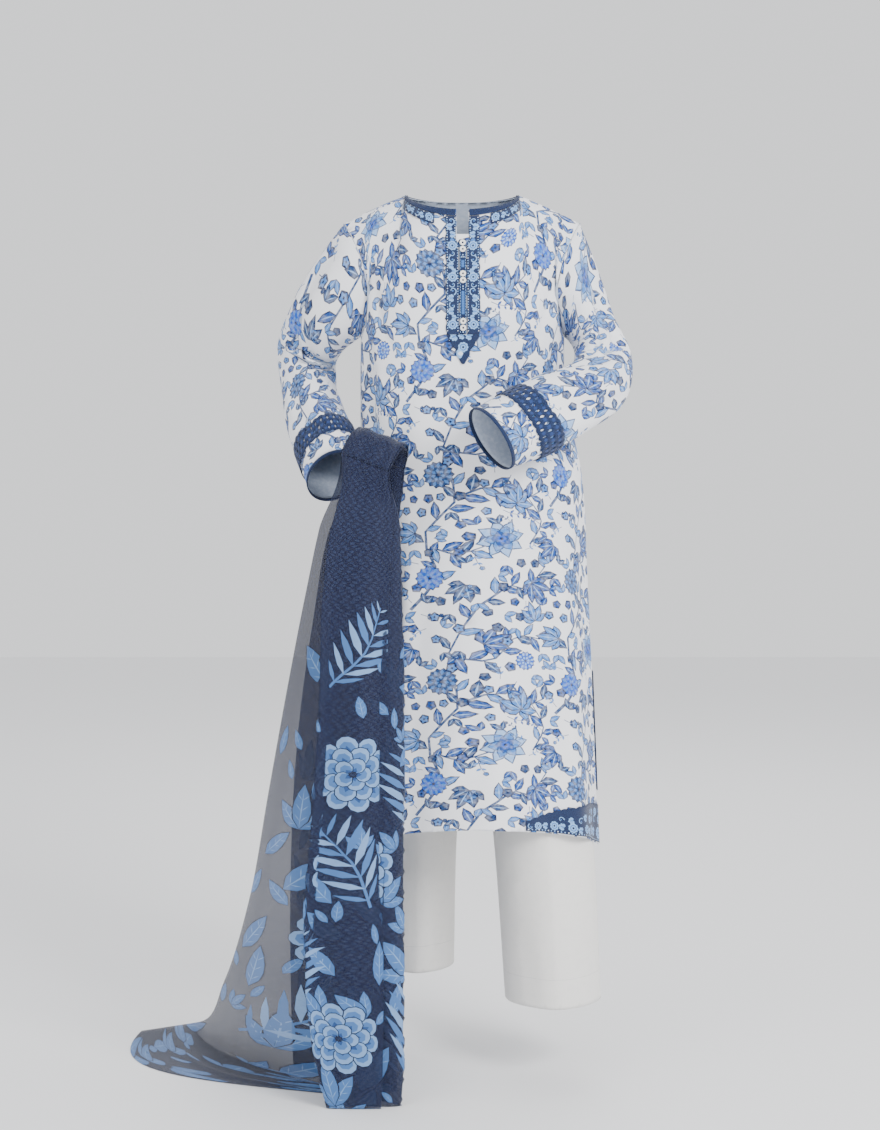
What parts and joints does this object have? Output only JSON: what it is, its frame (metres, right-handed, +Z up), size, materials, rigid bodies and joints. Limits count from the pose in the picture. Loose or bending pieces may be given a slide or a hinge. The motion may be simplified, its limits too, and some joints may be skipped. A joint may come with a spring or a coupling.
{
  "type": "salwar kameez suit",
  "caption": "Worn, hollow salwar kameez suit: long printed kameez with placket and side slits, straight trousers, and a sheer dupatta folded over the right forearm.",
  "frame": {"origin": "middle of the neck opening at the height where the shoulders carry the suit, 1.480 m above the floor", "axes": "+Z up, -Y towards the front of the wearer, +X towards the wearer's left"},
  "size_m": [0.8769, 0.5622, 1.5031],
  "materials": {
    "printed_lawn": "matte cotton lawn, white with a blue floral print",
    "navy_trim": "navy cotton lace, binding and piping",
    "blue_embroidery": "light and mid blue thread embroidery on navy",
    "white_cambric": "plain white cotton cambric, pressed",
    "navy_chiffon": "sheer navy chiffon with a pale blue print",
    "button_shell": "white ring buttons, satin"
  },
  "bodies": {
    "root": {"kameez_front": "printed_lawn", "kameez_back": "printed_lawn", "sleeve_right": "printed_lawn", "sleeve_left": "printed_lawn", "cuff_piping_right": "navy_trim", "cuff_piping_left": "navy_trim", "sleeve_lace_right": "navy_trim", "sleeve_lace_left": "navy_trim", "neck_binding_right": "navy_trim", "neck_binding_left": "navy_trim", "neck_binding_back": "navy_trim", "button_stand": "navy_trim", "slit_lace_front_right": "navy_trim", "slit_lace_front_left": "navy_trim", "slit_lace_back_right": "navy_trim", "slit_lace_back_left": "navy_trim", "neck_border_right": "blue_embroidery", "neck_border_left": "blue_embroidery", "placket_border_right": "blue_embroidery", "placket_border_left": "blue_embroidery", "placket_point": "blue_embroidery", "hem_corner_front_right": "blue_embroidery", "hem_corner_front_left": "blue_embroidery", "hem_corner_back_right": "blue_embroidery", "hem_corner_back_left": "blue_embroidery", "trouser_left_front": "white_cambric", "trouser_left_back": "white_cambric", "trouser_right_front": "white_cambric", "trouser_right_back": "white_cambric", "waistband": "white_cambric", "dupatta_front": "navy_chiffon", "dupatta_over_arm": "navy_chiffon", "dupatta_back": "navy_chiffon", "button_1": "button_shell", "button_2": "button_shell", "button_3": "button_shell", "button_4": "button_shell", "button_5": "button_shell", "button_6": "button_shell"}
  },
  "joints": []
}
